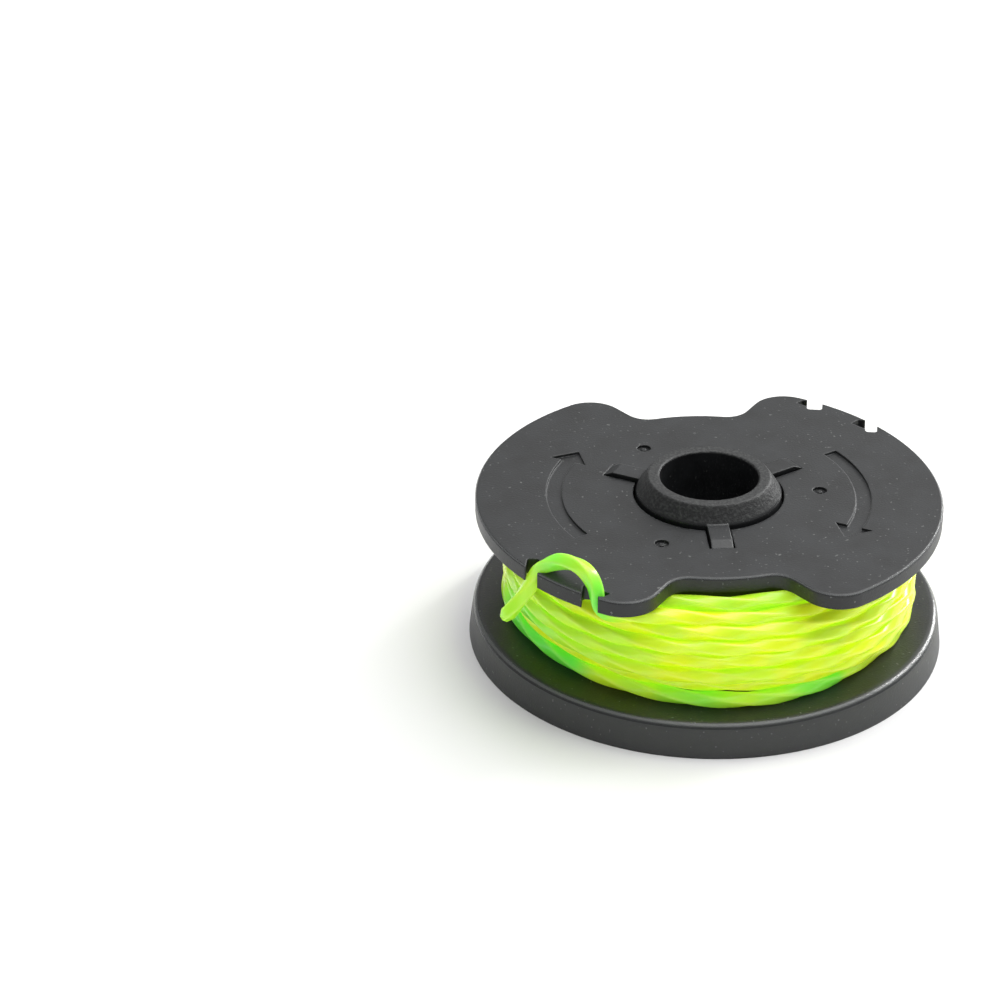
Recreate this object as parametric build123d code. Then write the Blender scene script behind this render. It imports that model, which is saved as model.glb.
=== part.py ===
from build123d import *
import math
import os

# A spool of cutting line for a string trimmer, in millimetres.
# The axis of the spool is Z and the round flange stands on the floor at Z = 0.
# The lobes of the upper flange point along +X and -X, its two recesses along +Y and -Y.
# Four pieces: the moulded body, the lobed flange on its shoulder, the wound line and its free end.

# Round flange and rim
LOWER_RADIUS = 33.0
RIM_HEIGHT = 4.9
RIM_TAPER = 0.5
RIM_EASE = 1.1
RIM_FLATS = 4
RIM_WALL = 1.8
LOWER_WEB = 2.0

# Drum, hollow and open below
DRUM_RADIUS = 22.0
DRUM_WALL = 1.8
DRUM_HEIGHT = 14.55
SHOULDER_WEB = 2.0
RIB_COUNT = 6
RIB_THICKNESS = 1.4
RIB_RECESS = 1.5
ANCHOR_HOLE_DIAMETER = 2.4
ANCHOR_HOLE_ANGLE = 75.0

# Bore and collar
BORE_RADIUS = 6.8
BORE_WALL = 2.0
TUBE_RECESS = 0.8
COLLAR_WALL = 3.2
COLLAR_RISE = 2.8
COLLAR_STEP = 0.5
COLLAR_LIP = 1.75
COLLAR_EASE = 0.2

# Keys that stop the upper flange from turning
KEY_COUNT = 3
KEY_WIDTH = 2.9
KEY_LENGTH = 5.1
KEY_RISE = 0.6
KEY_RAMP = 1.3
KEY_CLEARANCE = 0.3
KEY_END_CLEARANCE = 0.03

# Upper flange
UPPER_RADIUS = 32.1
UPPER_THICKNESS = 2.2
UPPER_EDGE_EASE = 0.25
COLLAR_CLEARANCE = 0.4
RECESS_MARGIN = 0.9
RECESS_HALF_WIDTH = 7.0
RECESS_LEAN = 35.5
RECESS_INNER_ROUND = 3.3
RECESS_OUTER_ROUND = 5.0

# Notches that hold the line, given on the +X lobe by the angle and depth of the notch floor's middle
NOTCH_LEAN = 10.0
NOTCH_ROUND = 0.45
NOTCH_A_ANGLE = 51.9
NOTCH_A_DEPTH = 2.35
NOTCH_A_WIDTH = 2.2
NOTCH_B_ANGLE = 32.3
NOTCH_B_DEPTH = 2.1
NOTCH_B_WIDTH = 1.7

# Wedge pockets beside the notches: how far they reach sideways and how far along the notch they run
POCKET_DEPTH = 1.3
POCKET_FLOOR_GAP = 0.25
POCKET_TIP = 0.65
POCKET_A_REACH = 1.5
POCKET_A_LENGTH = 2.4
POCKET_B_REACH = 2.0
POCKET_B_LENGTH = 3.3

# Winding arrows and gate pits, sunk in the upper face
ARROW_RADIUS = 21.25
ARROW_WIDTH = 2.1
ARROW_TAIL_ANGLE = 29.5
ARROW_HEAD_WIDTH = 5.4
ARROW_HEAD_ANGLE = 8.5
ARROW_DEPTH = 0.42
PIT_COUNT = 3
PIT_CIRCLE = 15.4
PIT_FIRST_ANGLE = -1.0
PIT_RADIUS = 1.0
PIT_DEPTH = 0.5
GATE_RADIUS = 0.35
GATE_HEIGHT = 0.3
PIT_SIDES = 12

# Wound line
LINE_DIAMETER = 2.03
LINE_LAYERS = 3
LAYER_SQUEEZE = 0.5
WINDING_BULGE = 1.2
CROWN_TURNS = 2
TURN_GROOVE = 0.55
WINDING_CLEARANCE = 0.1

# Free end of the line: off the outer turn, up through one notch, over the face and down through the next
RUN_SHARE = 0.45
LINE_SIDES = 8
END_ROUTE = [
    (-2.2, -25.2, 16.8),
    (-6.4, -24.8, 17.1),
    (-10.1, -25.0, 17.6),
    (-13.4, -25.2, 18.0),
    (-16.1, -25.5, 18.4),
    (-17.7, -25.5, 19.8),
    (-17.9, -24.9, 22.5),
    (-19.5, -23.1, 24.4),
    (-22.0, -20.6, 24.0),
    (-24.4, -18.4, 21.8),
    (-25.4, -18.0, 19.7),
    (-26.9, -18.3, 17.2),
    (-29.1, -18.3, 14.3),
]

# Levels and radii that several pieces share
face_z = RIM_HEIGHT
web_z = face_z - LOWER_WEB
shoulder_z = face_z + DRUM_HEIGHT
cavity_z = shoulder_z - SHOULDER_WEB
top_z = shoulder_z + UPPER_THICKNESS
step_z = top_z + COLLAR_STEP
collar_z = top_z + COLLAR_RISE
tube_radius = BORE_RADIUS + BORE_WALL
collar_radius = BORE_RADIUS + COLLAR_WALL
cavity_radius = DRUM_RADIUS - DRUM_WALL
recess_radius = DRUM_RADIUS + RECESS_MARGIN
key_reach = collar_radius + KEY_LENGTH


def polar(radius, angle):
    """A point at a radius and an angle in degrees about Z."""
    return (radius * math.cos(math.radians(angle)), radius * math.sin(math.radians(angle)))


def around(shape, count, first=0.0):
    """Copies of a shape spread evenly about Z."""
    return [Rot(0, 0, first + 360 * i / count) * shape for i in range(count)]


def turned(points):
    """A ring turned about Z from a closed section of (radius, height) points."""
    return revolve(Plane.XZ * make_face(Polyline(*points, close=True)), axis=Axis.Z)


def eased(radius, height, ease, flats):
    """Points that round off an outer upper edge in flats, in the order from inside to outside."""
    corners = [polar(ease, 90 - 90 * i / flats) for i in range(flats + 1)]
    return [(radius - ease + out, height - ease + up) for out, up in corners]


def make_shell():
    """Round flange, hollow drum, bore tube and collar, all turned about the axis."""
    lip_radius = BORE_RADIUS + COLLAR_LIP
    section = [
        (BORE_RADIUS, TUBE_RECESS),
        (BORE_RADIUS, collar_z - COLLAR_EASE),
        (BORE_RADIUS + COLLAR_EASE, collar_z),
        (lip_radius - COLLAR_EASE, collar_z),
        (lip_radius, collar_z - COLLAR_EASE),
        (collar_radius, step_z),
        (collar_radius, shoulder_z),
        (DRUM_RADIUS, shoulder_z),
        (DRUM_RADIUS, face_z),
        *eased(LOWER_RADIUS - RIM_TAPER, face_z, RIM_EASE, RIM_FLATS),
        (LOWER_RADIUS, 0),
        (LOWER_RADIUS - RIM_WALL, 0),
        (LOWER_RADIUS - RIM_WALL, web_z),
        (cavity_radius, web_z),
        (cavity_radius, cavity_z),
        (tube_radius, cavity_z),
        (tube_radius, TUBE_RECESS),
    ]
    return turned(section)


def make_rib():
    """One rib inside the drum, along +X, let half-way into the walls that it joins."""
    inner = tube_radius - BORE_WALL / 2
    outer = cavity_radius + DRUM_WALL / 2
    low = web_z + RIB_RECESS
    high = cavity_z + SHOULDER_WEB / 2
    side = Box(outer - inner, RIB_THICKNESS, high - low, align=(Align.MIN, Align.CENTER, Align.MIN))
    return Pos(inner, 0, low) * side


def make_key():
    """One key on the collar's foot, along +X, that stands above the upper flange and has a sloping end."""
    inner = tube_radius - BORE_WALL / 2
    side = [
        (inner, cavity_z),
        (key_reach, cavity_z),
        (key_reach, top_z),
        (key_reach - KEY_RAMP, top_z + KEY_RISE),
        (inner, top_z + KEY_RISE),
    ]
    return extrude(Plane.XZ * make_face(Polyline(*side, close=True)), KEY_WIDTH / 2, both=True)


def make_body():
    """The moulded body: shell, ribs and keys, with a hole in the drum for the line's inner end."""
    body = make_shell() + around(make_rib(), RIB_COUNT, -90) + around(make_key(), KEY_COUNT, -90)
    hole_x, hole_y = polar(DRUM_RADIUS - DRUM_WALL / 2, ANCHOR_HOLE_ANGLE)
    hole = Cylinder(ANCHOR_HOLE_DIAMETER / 2, 2 * DRUM_WALL, rotation=(0, 90, ANCHOR_HOLE_ANGLE))
    return body - Pos(hole_x, hole_y, face_z + LINE_DIAMETER) * hole


def lobed_outline():
    """The upper flange seen from above: a disc with two recesses that have leaning, rounded sides."""
    foot = Vector(RECESS_HALF_WIDTH, math.sqrt(recess_radius**2 - RECESS_HALF_WIDTH**2))
    out = Vector(*polar(1, 90 - RECESS_LEAN))
    along = foot.dot(out)
    side = math.sqrt(along**2 + UPPER_RADIUS**2 - recess_radius**2) - along
    corner = foot + out * side
    beyond = foot + out * 2 * side
    right = [(foot.X, foot.Y), (beyond.X, beyond.Y)]
    left = [(-beyond.X, beyond.Y), (-foot.X, foot.Y)]
    recess = make_face(Polyline(*right, *left, close=True)) - Circle(recess_radius)
    outline = Circle(UPPER_RADIUS) - around(recess, 2)

    # The two rounds of a recess side share its length.
    fit = min(1, side / (RECESS_INNER_ROUND + RECESS_OUTER_ROUND))
    for place, radius in ((corner, RECESS_OUTER_ROUND), (foot, RECESS_INNER_ROUND)):
        spots = [(x * place.X, y * place.Y) for x in (-1, 1) for y in (-1, 1)]
        edges = [outline.vertices().sort_by_distance(spot)[0] for spot in spots]
        outline = fillet(edges, radius * fit)
    return outline


def notch_place(angle, depth):
    """Where a notch's floor is, with the notch running out along its own Y."""
    return Location((*polar(UPPER_RADIUS - depth, angle), 0), (0, 0, -NOTCH_LEAN))


def notch(angle, depth, width):
    """A narrow slot from its floor out past the rim, with rounded floor corners."""
    length = 3 * depth
    slot = Pos(0, length / 2) * Rectangle(width, length)
    slot = fillet(slot.vertices().group_by(Axis.Y)[0], NOTCH_ROUND)
    return notch_place(angle, depth) * slot


def pocket(angle, depth, width, reach, length):
    """A wedge-shaped hollow in the upper face beside a notch, on the side of the nearer recess."""
    start = POCKET_FLOOR_GAP
    end = start + length
    side = -width / 2
    tip = start + POCKET_TIP * length
    wedge = [(0, start), (side - reach, tip), (side - reach / 2, end), (0, end)]
    return notch_place(angle, depth) * make_face(Polyline(*wedge, close=True))


def arrow():
    """A curved arrow on the +X lobe that points clockwise seen from above."""
    inside = CenterArc((0, 0), ARROW_RADIUS - ARROW_WIDTH / 2, -ARROW_TAIL_ANGLE, 2 * ARROW_TAIL_ANGLE)
    outside = CenterArc((0, 0), ARROW_RADIUS + ARROW_WIDTH / 2, -ARROW_TAIL_ANGLE, 2 * ARROW_TAIL_ANGLE)
    shaft = make_face([inside, outside, Line(inside @ 0, outside @ 0), Line(inside @ 1, outside @ 1)])
    barbs = [polar(ARROW_RADIUS + s * ARROW_HEAD_WIDTH / 2, -ARROW_TAIL_ANGLE) for s in (-1, 1)]
    apex = polar(ARROW_RADIUS, -ARROW_TAIL_ANGLE - ARROW_HEAD_ANGLE)
    return shaft + make_face(Polyline(*barbs, apex, close=True))


def gate_pit():
    """A small pit along +X with the stub of a moulding gate standing in it."""
    pit = extrude(RegularPolygon(PIT_RADIUS, PIT_SIDES), PIT_DEPTH)
    pit -= extrude(RegularPolygon(GATE_RADIUS, PIT_SIDES), GATE_HEIGHT)
    return Pos(PIT_CIRCLE, 0, top_z - PIT_DEPTH) * pit


def make_flange():
    """The lobed plate with its bore, key slots, line notches, pockets, arrows and gate pits."""
    plate = Pos(0, 0, shoulder_z) * extrude(lobed_outline(), UPPER_THICKNESS)
    plate = chamfer(plate.faces().sort_by(Axis.Z)[-1].edges(), UPPER_EDGE_EASE)

    slot_reach = key_reach + KEY_END_CLEARANCE
    slot = Pos(slot_reach / 2, 0) * Rectangle(slot_reach, KEY_WIDTH + 2 * KEY_CLEARANCE)
    opening = Circle(collar_radius + COLLAR_CLEARANCE) + around(slot, KEY_COUNT, -90)
    opening += around(notch(NOTCH_A_ANGLE, NOTCH_A_DEPTH, NOTCH_A_WIDTH), 2)
    opening += around(notch(NOTCH_B_ANGLE, NOTCH_B_DEPTH, NOTCH_B_WIDTH), 2)
    plate -= Pos(0, 0, shoulder_z) * extrude(opening, UPPER_THICKNESS)

    pocket_a = pocket(NOTCH_A_ANGLE, NOTCH_A_DEPTH, NOTCH_A_WIDTH, POCKET_A_REACH, POCKET_A_LENGTH)
    pocket_b = pocket(NOTCH_B_ANGLE, NOTCH_B_DEPTH, NOTCH_B_WIDTH, POCKET_B_REACH, POCKET_B_LENGTH)
    for mark, depth in ((pocket_a, POCKET_DEPTH), (pocket_b, POCKET_DEPTH), (arrow(), ARROW_DEPTH)):
        sunk = Pos(0, 0, top_z) * extrude(mark, -depth)
        plate -= around(sunk, 2)
    return plate - around(gate_pit(), PIT_COUNT, PIT_FIRST_ANGLE)


def make_winding():
    """The wound line as one ring whose outside shows its turns. Its outer layers end short of the top."""
    turns = round(DRUM_HEIGHT / LINE_DIAMETER)
    pitch = (DRUM_HEIGHT - WINDING_CLEARANCE) / turns
    inner = DRUM_RADIUS + WINDING_CLEARANCE
    edge = DRUM_RADIUS + LINE_LAYERS * LINE_DIAMETER - LAYER_SQUEEZE
    high = face_z + turns * pitch
    crown_turns = min(CROWN_TURNS, LINE_LAYERS - 1)
    section = [(inner, face_z)]
    for turn in range(turns):
        low = face_z + turn * pitch
        off_middle = (2 * turn + 1 - turns) / turns
        missing_layers = max(0, turn + 1 + crown_turns - turns)
        crest = edge + WINDING_BULGE * (1 - off_middle**2) - missing_layers * LINE_DIAMETER
        section.append((crest - TURN_GROOVE, low))
        section.append((crest, low + pitch / 2))
    section.append((crest - TURN_GROOVE, high))
    section.append((inner, high))
    return turned(section)


def make_line_end(winding, flange):
    """The free end of the line, cut where it lies in the turns and where a notch pinches it."""
    points = [Vector(*p) for p in END_ROUTE]
    runs = [b - a for a, b in zip(points, points[1:])]
    radii = []
    for before, after in zip(runs, runs[1:]):
        half_turn = math.radians(before.get_angle(after)) / 2
        radii.append(RUN_SHARE * min(before.length, after.length) / math.tan(half_turn))
    path = FilletPolyline(*points, radius=radii)
    section = RegularPolygon(LINE_DIAMETER / 2, LINE_SIDES)
    tube = sweep(Plane(path @ 0, z_dir=path % 0) * section, path=path)
    print("bend radii of the line end:", [round(r, 1) for r in radii])
    print("length of the line end:", round(path.length, 2))
    print("tube volume over section times length:", round(tube.volume / (section.area * path.length), 4))
    return tube - winding - flange


upper_flange = make_flange()
wound_line = make_winding()
pieces = {
    "spool_body": make_body(),
    "upper_flange": upper_flange,
    "wound_line": wound_line,
    "line_end": make_line_end(wound_line, upper_flange),
}
os.makedirs("parts", exist_ok=True)
for name, piece in pieces.items():
    export_step(piece, f"parts/{name}.step")
    print(name, "solids", len(piece.solids()), "volume", round(piece.volume, 1))
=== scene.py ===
# %% [markdown]
# # A spool of trimmer line
# The solids of the spool come in as a fixed frame, in metres, and stay where they are. This lesson
# dresses them: it winds the line, mixes the two plastics, and sets up a white studio.

# %% Load the frame
import math

import bpy
import numpy as np
from mathutils import Matrix, Vector


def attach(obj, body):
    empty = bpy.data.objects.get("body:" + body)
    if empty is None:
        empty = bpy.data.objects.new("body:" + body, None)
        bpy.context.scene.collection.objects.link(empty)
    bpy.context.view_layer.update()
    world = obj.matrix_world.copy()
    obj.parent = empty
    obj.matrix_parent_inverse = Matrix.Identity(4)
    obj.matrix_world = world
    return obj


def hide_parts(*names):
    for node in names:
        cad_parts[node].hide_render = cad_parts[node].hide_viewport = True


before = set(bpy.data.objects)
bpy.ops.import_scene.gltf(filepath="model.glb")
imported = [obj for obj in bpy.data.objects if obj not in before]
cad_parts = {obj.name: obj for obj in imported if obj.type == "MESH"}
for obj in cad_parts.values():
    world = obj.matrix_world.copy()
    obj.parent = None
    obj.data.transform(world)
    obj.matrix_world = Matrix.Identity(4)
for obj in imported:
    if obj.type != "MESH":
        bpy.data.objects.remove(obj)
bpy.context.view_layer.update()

MM = 0.001
scene = bpy.context.scene

# %% [markdown]
# ## Camera
# The spool was seen from a good arm's length away with a long lens, a little from the left and from
# above. A camera could be aimed with a constraint, but three plain angles and a place say exactly where
# it stands.

# %% Camera
CAMERA_PLACE = (-53.45, -368.85, 230.36)
PITCH, YAW, ROLL = 29.446, 3.834, 0.061
LENS_PIXELS = 3100.0
PICTURE_PIXELS = 1000
SENSOR_WIDTH = 36.0
NEAREST_SEEN = 10.0

pitch, yaw, roll = (math.radians(a) for a in (PITCH, YAW, ROLL))
ahead = Vector((math.sin(yaw) * math.cos(pitch), math.cos(yaw) * math.cos(pitch), -math.sin(pitch)))
level = Vector((math.cos(yaw), -math.sin(yaw), 0))
down = ahead.cross(level)
side = level * math.cos(roll) + down * math.sin(roll)
up = level * math.sin(roll) - down * math.cos(roll)

camera = bpy.data.objects.new("camera", bpy.data.cameras.new("camera"))
scene.collection.objects.link(camera)
camera.data.sensor_width = SENSOR_WIDTH
camera.data.lens = SENSOR_WIDTH * LENS_PIXELS / PICTURE_PIXELS
camera.data.clip_start = NEAREST_SEEN * MM
facing = Matrix((side, up, -ahead)).transposed().to_4x4()
camera.matrix_world = Matrix.Translation(Vector(CAMERA_PLACE) * MM) @ facing
scene.camera = camera
print("camera", round(Vector(CAMERA_PLACE).length), "mm away, lens", round(camera.data.lens, 1), "mm")

# %% [markdown]
# ## The route of the line
# The line is one length of nylon: its inner end hooks through a hole in the drum, then come three layers of
# turns, and its outer end is clipped through two notches of the upper flange. The layers run up, down and up
# the drum. A table says how far out and how high the line is after so many turns. The outer layers stop
# short of the top, so the turns under them show there, and the lowest outer turn sits deep on one side and
# bulges on the other.

# %% The table of the winding
WINDING = np.array([
    # turns so far, radius, height
    (0.05, 23.1, 6.2), (6.0, 23.1, 17.3), (6.3, 23.6, 18.2), (6.46, 23.9, 18.25), (6.75, 23.7, 18.2),
    (7.0, 24.2, 16.6), (7.46, 24.8, 15.0), (11.46, 24.9, 7.5), (11.8, 24.9, 6.9), (12.0, 26.4, 6.0),
    (12.1, 27.4, 5.95), (12.21, 28.0, 5.95), (12.29, 27.4, 5.95), (12.34, 26.5, 5.95), (12.4, 27.8, 5.95),
    (12.46, 28.0, 5.95), (12.5, 27.4, 5.95), (12.54, 26.8, 5.95), (12.64, 26.4, 5.95), (12.67, 26.9, 5.95),
    (12.7, 27.5, 6.0), (12.9, 27.5, 6.1), (13.2, 28.0, 7.5), (13.34, 28.0, 7.8), (13.4, 27.3, 7.9),
    (13.46, 27.0, 7.95), (13.52, 26.5, 8.0), (13.58, 26.0, 8.1), (13.8, 26.9, 8.2), (14.25, 28.1, 9.3),
    (14.46, 28.1, 9.85), (14.5, 28.0, 9.7), (14.56, 27.8, 9.9), (14.61, 27.5, 10.2), (14.75, 27.0, 10.1),
    (15.25, 28.2, 11.4), (15.46, 27.9, 12.05), (15.6, 27.7, 11.8), (15.75, 26.7, 12.0), (16.25, 27.6, 13.0),
    (16.46, 27.4, 13.8), (16.6, 27.5, 13.6), (16.75, 26.4, 13.8), (17.25, 27.3, 14.7), (17.46, 26.4, 15.4),
    (17.6, 26.7, 15.4), (17.75, 25.7, 15.5), (18.25, 26.0, 16.3), (18.45, 25.2, 16.8),
])
first_turn, turn_count = WINDING[0, 0], WINDING[-1, 0]
print("winding of", turn_count, "turns, out to", WINDING[:, 1].max(), "mm from the axis")

# %% [markdown]
# A loop lays points of one spline between the rows of the table. A small sway keeps the turns from lying too
# evenly. A spline of order three cuts its corners, so the points lie a little further out than the line
# itself. The hook in the drum and the free end are short lists of points.

# %% Points of the route
POINTS_PER_TURN = 24
START_ANGLE = 75.0
SPLINE_SHRINK = 0.9915
SWAY = 0.08
SWAY_OUT_RATE, SWAY_UP_RATE = 7.3, 9.1
# radius, angle, height
ANCHOR = [(17.2, 78.0, 7.4), (19.6, 76.0, 7.0), (21.8, 74.5, 6.9), (23.0, 69.0, 6.6)]
END_ROUTE = [
    (-2.2, -25.2, 16.8), (-6.4, -24.8, 17.1), (-10.1, -25.0, 17.6), (-13.4, -25.2, 18.0),
    (-16.1, -25.5, 18.4), (-17.7, -25.5, 19.8), (-17.9, -24.9, 22.5), (-19.5, -23.1, 24.4),
    (-22.0, -20.6, 24.0), (-24.4, -18.4, 21.8), (-25.4, -18.0, 19.7), (-26.9, -18.3, 17.2),
    (-29.5, -18.4, 13.9),
]


def polar(radius, angle, height):
    """A point about the spool's axis, in millimetres, with the angle in degrees."""
    return (radius * math.cos(math.radians(angle)), radius * math.sin(math.radians(angle)), height)


steps = round((turn_count - first_turn) * POINTS_PER_TURN)
laid = np.linspace(first_turn, turn_count, steps + 1)
radii = np.interp(laid, WINDING[:, 0], WINDING[:, 1]) + SWAY * np.sin(SWAY_OUT_RATE * laid)
heights = np.interp(laid, WINDING[:, 0], WINDING[:, 2]) + SWAY * np.sin(SWAY_UP_RATE * laid)
turns = [polar(r / SPLINE_SHRINK, START_ANGLE - 360 * t, z) for t, r, z in zip(laid, radii, heights)]
route = [polar(*p) for p in ANCHOR] + turns + END_ROUTE
print("route of", len(route), "points, of which", len(turns), "make", turn_count, "turns")

# %% [markdown]
# ## The line's own curve
# A spline through so many points could be drawn with a round bevel, but this line isn't round: it is
# square and twisted, which is what makes it cut. So the smooth spline is only read as a centreline here,
# and a mesh follows it.

# %% Centreline
STEPS_PER_POINT = 8

curve = bpy.data.curves.new("line_route", "CURVE")
curve.dimensions = "3D"
curve.resolution_u = STEPS_PER_POINT
spline = curve.splines.new("NURBS")
spline.points.add(len(route) - 1)
for point, place in zip(spline.points, route):
    point.co = (*(Vector(place) * MM), 1.0)
spline.order_u = 3
spline.use_endpoint_u = True

guide = bpy.data.objects.new("line_route", curve)
scene.collection.objects.link(guide)
bpy.context.view_layer.update()
traced = bpy.data.meshes.new_from_object(guide.evaluated_get(bpy.context.evaluated_depsgraph_get()))
centre = np.array([v.co[:] for v in traced.vertices])
bpy.data.objects.remove(guide)
bpy.data.meshes.remove(traced)
runs = np.linalg.norm(np.diff(centre, axis=0), axis=1)
along = np.concatenate([[0.0], np.cumsum(runs)])
longest = round(runs.max() / MM, 2)
print("centreline:", len(centre), "points,", round(along[-1], 3), "m, longest step", longest, "mm")

# %% [markdown]
# ## Twisted square line
# The nylon is extruded square with rounded corners and twisted while it is warm, one full turn in 32 mm.
# One slice of it is a ring of points. Each point keeps how near it is to a corner, because the corners get a
# painted glow, paler than the flats.

# %% One slice of the line
SQUARE = 1.84
CORNER = 0.4
# degrees round the corner, nearness to its middle
CORNER_POINTS = [(0, 0.55), (45, 1.0), (90, 0.55)]


def square_slice():
    """Points round one slice of the line in millimetres, with 1 on the corners and 0 between them."""
    flat = SQUARE / 2 - CORNER
    points, corner = [], []
    for quarter in range(4):
        turn = math.radians(90 * quarter)
        for lean, near in CORNER_POINTS:
            a = math.radians(lean)
            x, y = flat + CORNER * math.cos(a), flat + CORNER * math.sin(a)
            points.append((x * math.cos(turn) - y * math.sin(turn), x * math.sin(turn) + y * math.cos(turn)))
            corner.append(near)
        points.append((-SQUARE / 2 * math.sin(turn), SQUARE / 2 * math.cos(turn)))
        corner.append(0.0)
    return np.array(points) * MM, np.array(corner)


slice_points, slice_corner = square_slice()
sides = len(slice_points)
print("slice of", sides, "points,", round(np.ptp(slice_points[:, 0]) / MM, 2), "mm across the flats")

# %% [markdown]
# The slices follow the centreline. Carrying the ring's frame from slice to slice without letting it spin
# keeps the twist even, also through the bends at the notches. The two cut ends are rounded over a
# little, and the lowest turn is pressed flat where it lies on the round flange.

# %% Rings along the line
TWIST = 32.0
TWIST_START = 20.0
FLANGE_FACE = 4.92
# distance from a cut end, share of the full size
END_ROUNDING = [(0.0, 0.55), (0.12, 0.85), (0.4, 1.0)]


def carried_frames(points):
    """Two directions across the line at each point, carried along it without spinning."""
    ahead = np.gradient(points, axis=0)
    ahead /= np.linalg.norm(ahead, axis=1)[:, None]
    first = np.zeros_like(points)
    across = np.array([0.0, 0.0, 1.0])
    for i, direction in enumerate(ahead):
        across = across - direction * (across @ direction)
        across /= np.linalg.norm(across)
        first[i] = across
    return first, np.cross(ahead, first)


across, beside = carried_frames(centre)
spin = math.radians(TWIST_START) + 2 * math.pi * along / (TWIST * MM)
size = np.ones(len(centre))
for distance, share in END_ROUNDING:
    for gap in (along, along[-1] - along):
        size = np.where(gap <= distance * MM, np.minimum(size, share), size)
cosine, sine = np.cos(spin)[:, None], np.sin(spin)[:, None]
x = slice_points[:, 0][None] * cosine - slice_points[:, 1][None] * sine
y = slice_points[:, 0][None] * sine + slice_points[:, 1][None] * cosine
spread_out = x[..., None] * across[:, None] + y[..., None] * beside[:, None]
rings = centre[:, None] + size[:, None, None] * spread_out
rings[..., 2] = np.maximum(rings[..., 2], FLANGE_FACE * MM)
print("rings:", len(rings), "with", round(along[-1] / (TWIST * MM), 1), "full twists")

# %% [markdown]
# Faces join each ring to the next. Three looks go along with the points: how near a corner they are, how far
# along the line, and how much painted shade green they get. Strands that lie in shade or have black nylon
# behind them, like the free loop, the lowest outer turn and some turns at the left, are painted greener than
# those among others, as painted shade.

# %% Line mesh
# Painted shade: how much greener a strand is painted where it lies in shade or has black nylon behind it.
GREEN_IN_SHADE = np.array([
    # turns so far, share of painted shade green
    (6.2, 0.0), (6.3, 0.6), (6.36, 0.3), (6.6, 0.3), (6.8, 0.0), (12.2, 0.0), (12.36, 0.2), (12.37, 0.9),
    (12.4, 0.8), (12.42, 0.4), (12.45, 0.4), (12.48, 0.7), (12.51, 0.6), (12.52, 0.25), (12.57, 0.3),
    (12.59, 1.0), (12.68, 1.0), (12.73, 0.2), (12.8, 0.0), (14.5, 0.0), (14.58, 0.3), (14.64, 0.8),
    (14.67, 0.7), (14.71, 0.0), (15.5, 0.0), (15.58, 0.3), (15.66, 0.5), (15.71, 0.0), (16.5, 0.0),
    (16.58, 0.3), (16.66, 0.3), (16.71, 0.0), (18.54, 0.0), (18.555, 1.0), (18.567, 0.5), (18.59, 0.8),
    (18.6, 0.7), (18.61, 0.4),
])

faces = []
for i in range(len(centre) - 1):
    for k in range(sides):
        n = (k + 1) % sides
        faces.append((i * sides + k, i * sides + n, (i + 1) * sides + n, (i + 1) * sides + k))
faces.append(tuple(reversed(range(sides))))
faces.append(tuple((len(centre) - 1) * sides + k for k in range(sides)))
mesh = bpy.data.meshes.new("trimmer_line")
mesh.from_pydata(rings.reshape(-1, 3).tolist(), [], faces)
mesh.shade_smooth()

turned = (START_ANGLE - np.degrees(np.unwrap(np.arctan2(centre[:, 1], centre[:, 0])))) / 360
green = np.interp(turned, GREEN_IN_SHADE[:, 0], GREEN_IN_SHADE[:, 1])
looks = {
    "corner": np.tile(slice_corner, len(centre)),
    "along": np.repeat(along, sides),
    "green": np.repeat(green, sides),
}
for name, values in looks.items():
    mesh.attributes.new(name, "FLOAT", "POINT").data.foreach_set("value", values.astype(np.float32))
line = bpy.data.objects.new("trimmer_line", mesh)
scene.collection.objects.link(line)
print("line mesh:", len(mesh.polygons), "faces, turned", round(float(turned[-1]), 2), "times at its end")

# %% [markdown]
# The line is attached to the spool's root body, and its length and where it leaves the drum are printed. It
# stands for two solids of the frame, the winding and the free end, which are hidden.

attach(line, "root")
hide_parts("wound_line", "line_end")
print("cord of", round(float(along[-1]), 3), "m, leaving the drum at", START_ANGLE, "degrees")

# %% [markdown]
# ## Helpers for materials
# Colours are written as the hex values that a paint program shows, and one function turns them to linear
# light. Another adds a node, sets what it is given and links any socket it is given, so a material reads
# as a list. The rest are short names for nodes that come back often.

# %% Helpers
def linear(hex_colour):
    """A colour like 2a2b2a as linear red, green, blue and alpha."""
    parts = [int(hex_colour[i:i + 2], 16) / 255 for i in (0, 2, 4)]
    return (*(p / 12.92 if p <= 0.04045 else ((p + 0.055) / 1.055) ** 2.4 for p in parts), 1.0)


def add(tree, kind, sockets=(), **settings):
    """A node of a kind with its settings. Each socket gets a value, or a link from another node's output."""
    node = tree.nodes.new(kind)
    for name, value in settings.items():
        setattr(node, name, value)
    for name, value in dict(sockets).items():
        if isinstance(value, bpy.types.NodeSocket):
            tree.links.new(value, node.inputs[name])
        else:
            node.inputs[name].default_value = value
    return node


def empty_tree(owner):
    """The node tree of a material or world, with nothing in it yet."""
    owner.use_nodes = True
    owner.node_tree.nodes.clear()
    return owner.node_tree


def noise(tree, place, size, **sockets):
    """Noise with marks so many millimetres apart, on coordinates in metres."""
    node = add(tree, "ShaderNodeTexNoise", {"Vector": place, "Scale": 1.0 / (size * MM), **sockets})
    return node.outputs["Fac"]


def stretched(tree, value, start=0.0, end=1.0, low=0.0, high=1.0):
    """A value drawn from the range of start to end onto the range of low to high."""
    ranges = {"From Min": start, "From Max": end, "To Min": low, "To Max": high}
    return add(tree, "ShaderNodeMapRange", {"Value": value, **ranges}).outputs["Result"]


def mixed_colour(tree, share, first, second):
    """The first colour with a share of the second one."""
    return add(tree, "ShaderNodeMix", {0: share, 6: first, 7: second}, data_type="RGBA").outputs[2]


def mixed_value(tree, share, first, second):
    """The first value with a share of the second one."""
    return add(tree, "ShaderNodeMix", {0: share, 2: first, 3: second}).outputs[0]


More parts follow.
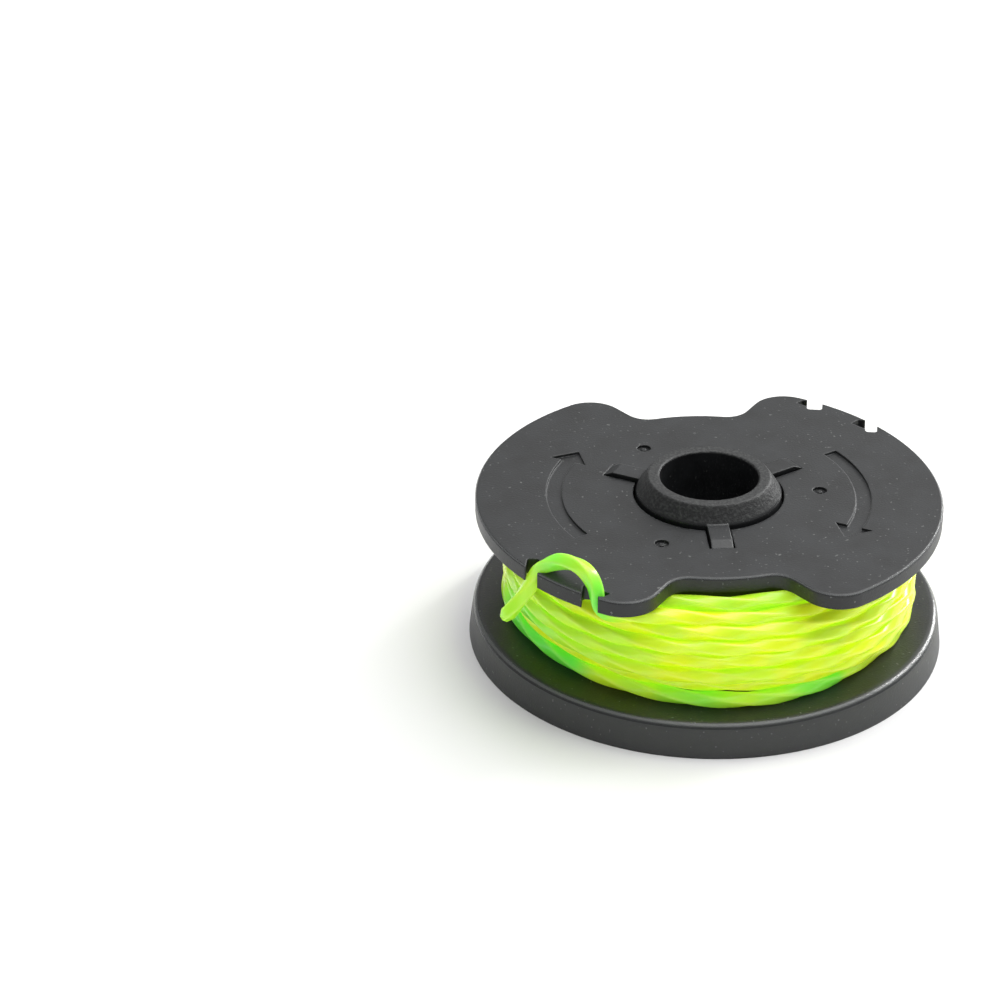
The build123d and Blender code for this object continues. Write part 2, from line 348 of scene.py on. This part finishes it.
def ramp(tree, value, shares):
    """Grey levels along a value, from a list of places and levels."""
    node = add(tree, "ShaderNodeValToRGB", {"Fac": value})
    stops = node.color_ramp.elements
    for _ in range(len(shares) - len(stops)):
        stops.new(1.0)
    for stop, (position, share) in zip(stops, shares):
        stop.position = position
        stop.color = (share, share, share, 1.0)
    return node.outputs["Color"]


print("a middle grey, 808080, is", round(linear("808080")[0], 3), "in linear light")

# %% [markdown]
# ## Moulded black nylon
# Both mouldings are nylon filled with short glass fibre, black all through. The mould was spark-eroded,
# so the skin has a fine even grain that keeps it matt. Glass near the skin makes it slightly mottled and
# dust settles on it. All of these are noise on the solids' own coordinates, with sizes in millimetres.
# The real grain is finer than a pixel, so it is drawn coarser, at 0.3 mm and at 0.4 mm on the collar.

# %% Patterns in the nylon
MOTTLE, GRAIN, COLLAR_GRAIN, SPECK = 5, 0.3, 0.4, 0.55

black = bpy.data.materials.new("moulded_glass_filled_nylon_black")
tree = empty_tree(black)
place = add(tree, "ShaderNodeTexCoord").outputs["Object"]
mottle = noise(tree, place, MOTTLE, Detail=5.0, Roughness=0.65)
grain = noise(tree, place, GRAIN, Detail=2.0)
coarse = noise(tree, place, COLLAR_GRAIN, Detail=2.0)
specks = noise(tree, place, SPECK, Detail=1.0)
print("patterns in mm:", MOTTLE, GRAIN, COLLAR_GRAIN, SPECK)

# %% [markdown]
# Some places differ. Eased edges were polished in the mould, so they are smoother and catch the light in
# small broken points, and they are painted a little grey, a painted highlight along them. A normal that
# leans marks them, and for the painted highlight it is read after the Bevel node has rounded every edge. The
# outer wall of the round flange's rim, which the spool stands and turns on, is painted a paler grey up to
# its top, a painted reflection of the bright floor. The collar has a coarser, paler grain outside, and its
# height above the flange and the keys marks it. Painted masks would need an image, so heights and normals do
# it.

# %% Where the nylon differs
EDGE_ROUNDING = 0.35
# how far a normal points up, share of the effect
SLOPING = [(0.2, 0.0), (0.35, 1.0), (0.85, 1.0), (0.89, 0.0)]
# The next ramp marks the edges that get a painted highlight in grey.
EDGE_HIGHLIGHT = [(0.6, 0.0), (0.66, 1.0), (0.82, 1.0), (0.88, 0.0)]
COLLAR_FOOT, COLLAR_BLEND = 22.3, 0.2
# The rim's outer wall gets a paler grey, a painted reflection of the bright floor, fading out towards the
# rim's top.
FLOOR_LIGHT_FADE, FLOOR_LIGHT_END = 4.6, 4.88
FLOOR_LIGHT_SHARE = 0.3

height = add(tree, "ShaderNodeSeparateXYZ", {"Vector": place}).outputs["Z"]
flat_normal = add(tree, "ShaderNodeNewGeometry").outputs["Normal"]
rounded = add(tree, "ShaderNodeBevel", {"Radius": EDGE_ROUNDING * MM}, samples=6).outputs["Normal"]
facing_up = add(tree, "ShaderNodeSeparateXYZ", {"Vector": flat_normal}).outputs["Z"]
leaning = add(tree, "ShaderNodeSeparateXYZ", {"Vector": rounded}).outputs["Z"]
sloping = ramp(tree, facing_up, SLOPING)
# Where the rounded normal leans: a painted highlight. Below the rim's top: painted floor light.
painted_edge_highlight = ramp(tree, leaning, EDGE_HIGHLIGHT)
painted_floor_light = stretched(tree, height, start=FLOOR_LIGHT_FADE * MM, end=FLOOR_LIGHT_END * MM, low=FLOOR_LIGHT_SHARE, high=0.0)
outside = stretched(tree, facing_up, start=0.2, end=0.4)
collar_top = (COLLAR_FOOT + COLLAR_BLEND) * MM
collar = stretched(tree, height, start=COLLAR_FOOT * MM, end=collar_top, high=outside)
print("collar from", COLLAR_FOOT, "mm up, scuffs up to", FLOOR_LIGHT_END, "mm")

# %% [markdown]
# Colour, roughness and bump are then put together in layers: skin, dust, painted floor light on the rim's
# wall, a painted highlight on the edges, and the collar.

# %% Black nylon
SKIN_DARK, SKIN_PALE = "121314", "222426"
# Dust is real. The next two greys are painted light: a paler rim wall for the floor's reflection, and a
# highlight along the edges.
DUST, FLOOR_LIGHT_GREY, EDGE_HIGHLIGHT_GREY = "626462", "505251", "606262"
COLLAR_DARK, COLLAR_PALE = "191a1b", "373938"
POLISHED_ROUGHNESS, COLLAR_ROUGHNESS = 0.2, 0.5
GRAIN_DEPTH = 0.1
NYLON_IOR = 1.53

fibrous = stretched(tree, mottle, start=0.3, end=0.7)
skin = mixed_colour(tree, fibrous, linear(SKIN_DARK), linear(SKIN_PALE))
dusty = mixed_colour(tree, stretched(tree, specks, start=0.71, end=0.79), skin, linear(DUST))
# Over the dust: painted floor light on the rim's wall, then a painted highlight on the edges.
with_floor_light = mixed_colour(tree, painted_floor_light, dusty, linear(FLOOR_LIGHT_GREY))
with_edge_highlight = mixed_colour(tree, painted_edge_highlight, with_floor_light, linear(EDGE_HIGHLIGHT_GREY))
pale = stretched(tree, coarse, start=0.45, end=0.7)
speckled = mixed_colour(tree, pale, linear(COLLAR_DARK), linear(COLLAR_PALE))
matt = stretched(tree, mottle, low=0.34, high=0.54)
polished = mixed_value(tree, sloping, matt, POLISHED_ROUGHNESS)
bump = add(
    tree, "ShaderNodeBump",
    {
        "Strength": stretched(tree, collar, low=0.35, high=0.8),
        "Distance": GRAIN_DEPTH * MM,
        "Height": mixed_value(tree, collar, grain, coarse),
        "Normal": rounded,
    },
)
shader = add(
    tree, "ShaderNodeBsdfPrincipled",
    {
        "Base Color": mixed_colour(tree, collar, with_edge_highlight, speckled),
        "Roughness": mixed_value(tree, collar, polished, COLLAR_ROUGHNESS),
        "IOR": NYLON_IOR,
        "Normal": bump.outputs["Normal"],
    },
)
add(tree, "ShaderNodeOutputMaterial", {"Surface": shader.outputs["BSDF"]})
for name in ("spool_body", "upper_flange"):
    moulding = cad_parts[name]
    moulding.data.materials.clear()
    moulding.data.materials.append(black)
print("black nylon on both mouldings, of", len(tree.nodes), "nodes")

# %% [markdown]
# ## Fluorescent line nylon
# The line is clear nylon with a fluorescent dye. It is see-through enough that light wanders in it, and the
# dye gives back light of its own. Among other strands the line is yellow. Strands in shade or with black
# nylon behind them get a painted shade green, and the corners get a painted glow. A little glow in the
# line's own colour stands for the dye. It does not dim in shade, so it also brightens the shaded strands.

# %% Line nylon
LINE_LIME, LINE_YELLOW = "d0f430", "e2f41e"
SHADE_GREEN, CORNER_GLOW = "6cec44", "f4ff90"
DRIFT = 9
CORNER_GLOW_SHARE = 0.2
# The glow stands for the dye's fluorescence, but it does not dim in shade, so it also lights up shaded
# strands and crevices.
GLOW = 0.23

lime = bpy.data.materials.new("twisted_fluorescent_nylon")
tree = empty_tree(lime)
corner = add(tree, "ShaderNodeAttribute", attribute_name="corner").outputs["Fac"]
along_line = add(tree, "ShaderNodeAttribute", attribute_name="along").outputs["Fac"]
painted_shade_green = add(tree, "ShaderNodeAttribute", attribute_name="green").outputs["Fac"]
drift = add(
    tree, "ShaderNodeTexNoise",
    {"W": along_line, "Scale": 1.0 / (DRIFT * MM), "Detail": 2.0},
    noise_dimensions="1D",
).outputs["Fac"]
warmer = stretched(tree, drift, start=0.35, end=0.65)
among_turns = mixed_colour(tree, warmer, linear(LINE_LIME), linear(LINE_YELLOW))
# Painted shade: shaded strands are mixed towards green.
flat_colour = mixed_colour(tree, painted_shade_green, among_turns, linear(SHADE_GREEN))
# Painted glow: the corners are painted paler, standing in for light leaving the line there.
painted_corner_glow = stretched(tree, corner, start=0.4, high=CORNER_GLOW_SHARE)
shader = add(
    tree, "ShaderNodeBsdfPrincipled",
    {
        "Base Color": mixed_colour(tree, painted_corner_glow, flat_colour, linear(CORNER_GLOW)),
        "Roughness": 0.25,
        "IOR": NYLON_IOR,
        "Subsurface Weight": 0.6,
        "Subsurface Radius": (1.0, 0.9, 0.15),
        "Subsurface Scale": 0.6 * MM,
        "Emission Color": flat_colour,
        "Emission Strength": GLOW,
    },
)
add(tree, "ShaderNodeOutputMaterial", {"Surface": shader.outputs["BSDF"]})
mesh.materials.append(lime)
print("line nylon on", line.name)

# %% [markdown]
# ## White studio
# The spool stood on white paper. A plane wide enough that its far edge is out of sight is all it takes, with
# a faint fibre pressed into it. It is not part of the spool.

# %% Paper floor
FLOOR_HALF = 2.5
FLOOR_DROP = 0.02
PAPER, FIBRE = "f4f4f4", 1.5

floor_mesh = bpy.data.meshes.new("paper_floor")
floor_corners = [(x * FLOOR_HALF, y * FLOOR_HALF, 0) for x, y in ((-1, -1), (1, -1), (1, 1), (-1, 1))]
floor_mesh.from_pydata(floor_corners, [], [(0, 1, 2, 3)])
floor = bpy.data.objects.new("paper_floor", floor_mesh)
floor.location.z = -FLOOR_DROP * MM
scene.collection.objects.link(floor)
paper = bpy.data.materials.new("matt_white_paper")
tree = empty_tree(paper)
fibre = noise(tree, add(tree, "ShaderNodeTexCoord").outputs["Object"], FIBRE, Detail=3.0)
press = add(tree, "ShaderNodeBump", {"Strength": 0.05, "Distance": 0.05 * MM, "Height": fibre})
shader = add(
    tree, "ShaderNodeBsdfPrincipled",
    {
        "Base Color": linear(PAPER),
        "Roughness": 0.9,
        "Specular IOR Level": 0.2,
        "Normal": press.outputs["Normal"],
    },
)
add(tree, "ShaderNodeOutputMaterial", {"Surface": shader.outputs["BSDF"]})
floor_mesh.materials.append(paper)
print("floor", 2 * FLOOR_HALF, "m across,", FLOOR_DROP, "mm under the spool")

# %% [markdown]
# One broad light hung overhead, a little to the right and behind, with darkness towards the viewer. A
# sky that is bright round one direction and fades away from it does the work of that light.

# %% Sky
OVERHEAD = (0.26, 0.22, 0.94)
# how near a direction is to the light, brightness
SKY = [(0.0, 0.06), (0.3, 0.1), (0.55, 0.14), (0.76, 0.18), (0.9, 0.85), (1.0, 1.1)]
SKY_STRENGTH = 3.3

world = bpy.data.worlds.new("white_studio")
scene.world = world
tree = empty_tree(world)
direction = add(tree, "ShaderNodeTexCoord").outputs["Generated"]
toward = add(tree, "ShaderNodeVectorMath", {0: direction, 1: OVERHEAD}, operation="DOT_PRODUCT")
fade = ramp(tree, toward.outputs["Value"], SKY)
sky = add(tree, "ShaderNodeBackground", {"Color": fade, "Strength": SKY_STRENGTH})
add(tree, "ShaderNodeOutputWorld", {"Surface": sky.outputs["Background"]})
darkest, brightest = (round(SKY_STRENGTH * level, 2) for _, level in (SKY[0], SKY[-1]))
print("sky", brightest, "at its brightest and", darkest, "at its darkest")

# %% [markdown]
# A long strip light, leaning at the right, puts the bright broken lines along the round edges there. Two
# directions, to its top and to its foot, say where it is, because each came from where an edge shines.

# %% Strip light and view
STRIP_TOP = Vector((0.69, 0.17, 0.7))
STRIP_FOOT = Vector((0.655, 0.745, 0.125))
STRIP_FAR = 0.6
STRIP_WIDTH = 0.05
STRIP_WATTS = 2.2

strip = bpy.data.lights.new("strip_light", "AREA")
strip.shape = "RECTANGLE"
strip.size = STRIP_WIDTH
strip.size_y = STRIP_FAR * (STRIP_FOOT - STRIP_TOP).length
strip.energy = STRIP_WATTS
strip_light = bpy.data.objects.new("strip_light", strip)
scene.collection.objects.link(strip_light)
away = (STRIP_TOP + STRIP_FOOT).normalized()
along_strip = (STRIP_FOOT - STRIP_TOP).normalized()
facing = Matrix((along_strip.cross(away), along_strip, away)).transposed().to_4x4()
strip_light.matrix_world = Matrix.Translation(away * STRIP_FAR) @ facing
scene.view_settings.view_transform = "Standard"
print("strip light", round(strip.size_y, 2), "m long,", STRIP_FAR, "m away")
